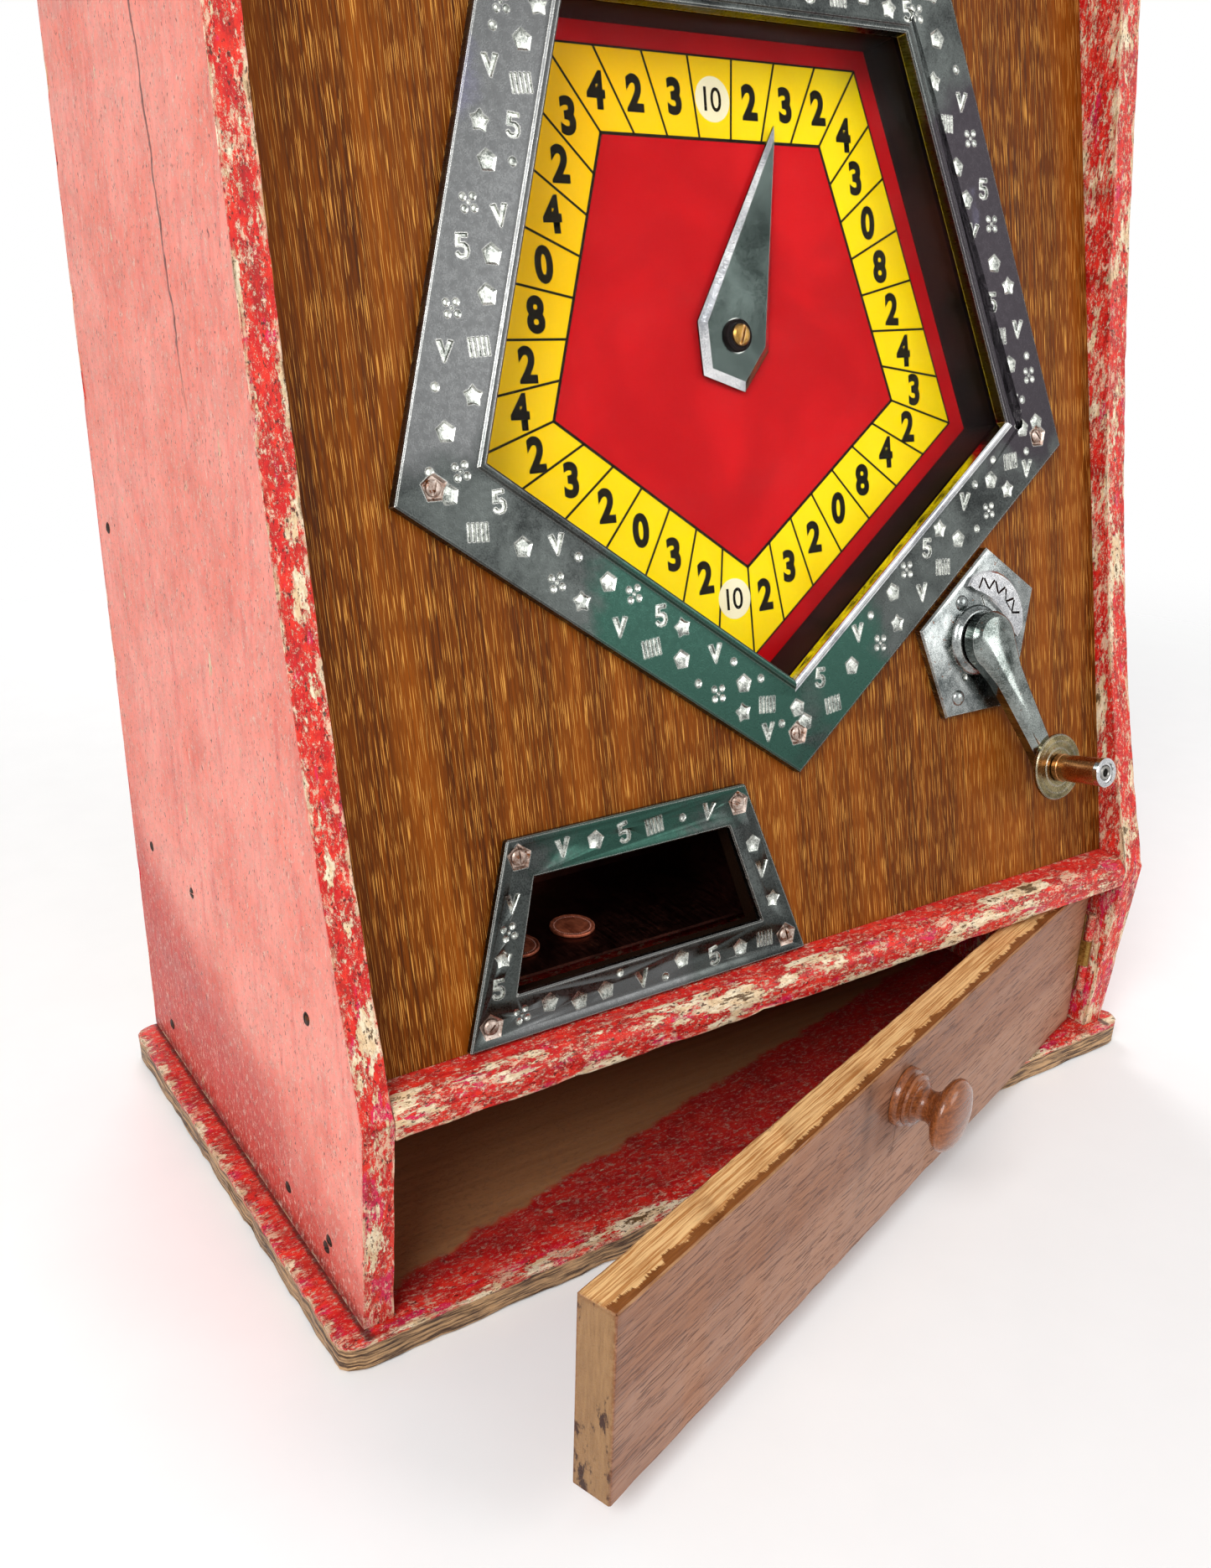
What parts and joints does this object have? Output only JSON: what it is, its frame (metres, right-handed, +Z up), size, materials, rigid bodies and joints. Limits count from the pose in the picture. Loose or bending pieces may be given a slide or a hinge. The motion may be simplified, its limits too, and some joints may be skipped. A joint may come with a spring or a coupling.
{
  "type": "coin-operated number dial machine",
  "caption": "Wooden counter-top penny machine: leaning oak front, five-sided chrome dial window with pointer, crank, payout tray and a hinged lower compartment.",
  "frame": {"origin": "centre of the base board's underside", "axes": "+Z up, -Y towards the player, +X to the player's right"},
  "size_m": [0.616, 0.5074, 0.8495],
  "materials": {
    "red_paint": "worn red gloss paint over wood, chipped to cream primer",
    "oak": "varnished brown oak, open grain",
    "door_oak": "dry oak, worn edges",
    "knob_wood": "turned, waxed wood",
    "plywood": "bare board",
    "chrome": "worn brushed chrome plate, stamped",
    "steel": "plain steel, lightly rusted",
    "brass": "tarnished brass",
    "bronze_coin": "old bronze",
    "tray_steel": "dark brown, rubbed",
    "black_paint": "matt black",
    "dial_print": "red and yellow enamel with black lines and plain numbers",
    "glass": "clear flat glass"
  },
  "bodies": {
    "case": {"base_board": "red_paint", "left_side": "red_paint", "right_side": "red_paint", "shelf": "red_paint", "top_board": "red_paint", "front_panel": "oak", "compartment_back": "plywood", "dial_frame": "chrome", "dial_frame_screw_1": "steel", "dial_frame_screw_2": "steel", "dial_frame_screw_3": "steel", "dial_frame_screw_4": "steel", "dial_frame_screw_5": "steel", "dial_glass": "glass", "dial_well": "black_paint", "dial_plate": "dial_print", "spindle_bush": "brass", "idler_stud": "steel", "gear_bridge": "steel", "escutcheon": "chrome", "escutcheon_screw_1": "steel", "escutcheon_screw_2": "steel", "crank_bush": "brass", "payout_frame": "chrome", "payout_screw_1": "steel", "payout_screw_2": "steel", "payout_screw_3": "steel", "payout_screw_4": "steel", "payout_tray": "tray_steel", "payout_block": "plywood", "coin_tube": "brass", "coin_middle": "bronze_coin", "coin_left": "bronze_coin", "coin_slot_plate": "chrome", "coin_trough": "steel", "coin_drop_tube": "steel", "door_hinge_case_leaf": "brass", "door_hinge_pin": "steel", "back_hinge_case_leaf": "brass", "back_hinge_pin": "steel"},
    "crank": {"crank_arm": "chrome", "crank_disc": "brass", "grip_pin": "steel", "crank_shaft": "steel", "crank_gear": "steel"},
    "grip": {"grip_sleeve": "brass"},
    "idler": {"idler_gear": "steel"},
    "pointer": {"pointer": "chrome", "pointer_screw": "brass", "pointer_spindle": "steel", "pointer_gear": "steel"},
    "door": {"door": "door_oak", "door_knob": "knob_wood", "knob_screw": "steel", "door_hinge_door_leaf": "brass"},
    "back_door": {"back_door": "plywood", "back_hinge_door_leaf": "brass", "lock_barrel": "brass"},
    "lock": {"lock_cam": "steel"},
    "slide": {"payout_slide": "steel"}
  },
  "joints": [
    {"name": "crank_turn", "type": "hinge", "parent": "case", "child": "crank", "pos_m": [0.15478, -0.12057, 0.31196], "axis": [0, -0.9748, 0.2233], "continuous": true},
    {"name": "grip_spin", "type": "hinge", "parent": "crank", "child": "grip", "pos_m": [0.2037, -0.1402, 0.22628], "axis": [0, -0.9748, 0.2233], "continuous": true},
    {"name": "idler_spin", "type": "hinge", "parent": "case", "child": "idler", "pos_m": [0.07641, -0.09849, 0.40841], "axis": [0, -0.9748, 0.2233], "continuous": true},
    {"name": "pointer_spin", "type": "hinge", "parent": "case", "child": "pointer", "pos_m": [0.0055, -0.0785, 0.49567], "axis": [0, -0.9748, 0.2233], "continuous": true},
    {"name": "door_swing", "type": "hinge", "parent": "case", "child": "door", "pos_m": [0.27181, -0.163, 0.076], "axis": [0, 0, 1], "range_deg": [-18.2, 72]},
    {"name": "back_door_swing", "type": "hinge", "parent": "case", "child": "back_door", "pos_m": [-0.27181, 0.1755, 0.49284], "axis": [0, 0, 1], "range_deg": [0, 110]},
    {"name": "lock_turn", "type": "hinge", "parent": "back_door", "child": "lock", "pos_m": [0.25051, 0.1715, 0.49284], "axis": [0, 1, 0], "range_deg": [0, 90]},
    {"name": "payout_push", "type": "slide", "parent": "case", "child": "slide", "axis": [0, -1, 0], "range_m": [0, 0.027]}
  ],
  "couplings": [
    {"joint": "idler_spin", "follows": "crank_turn", "ratio": -1.3333},
    {"joint": "pointer_spin", "follows": "crank_turn", "ratio": 1.2}
  ]
}
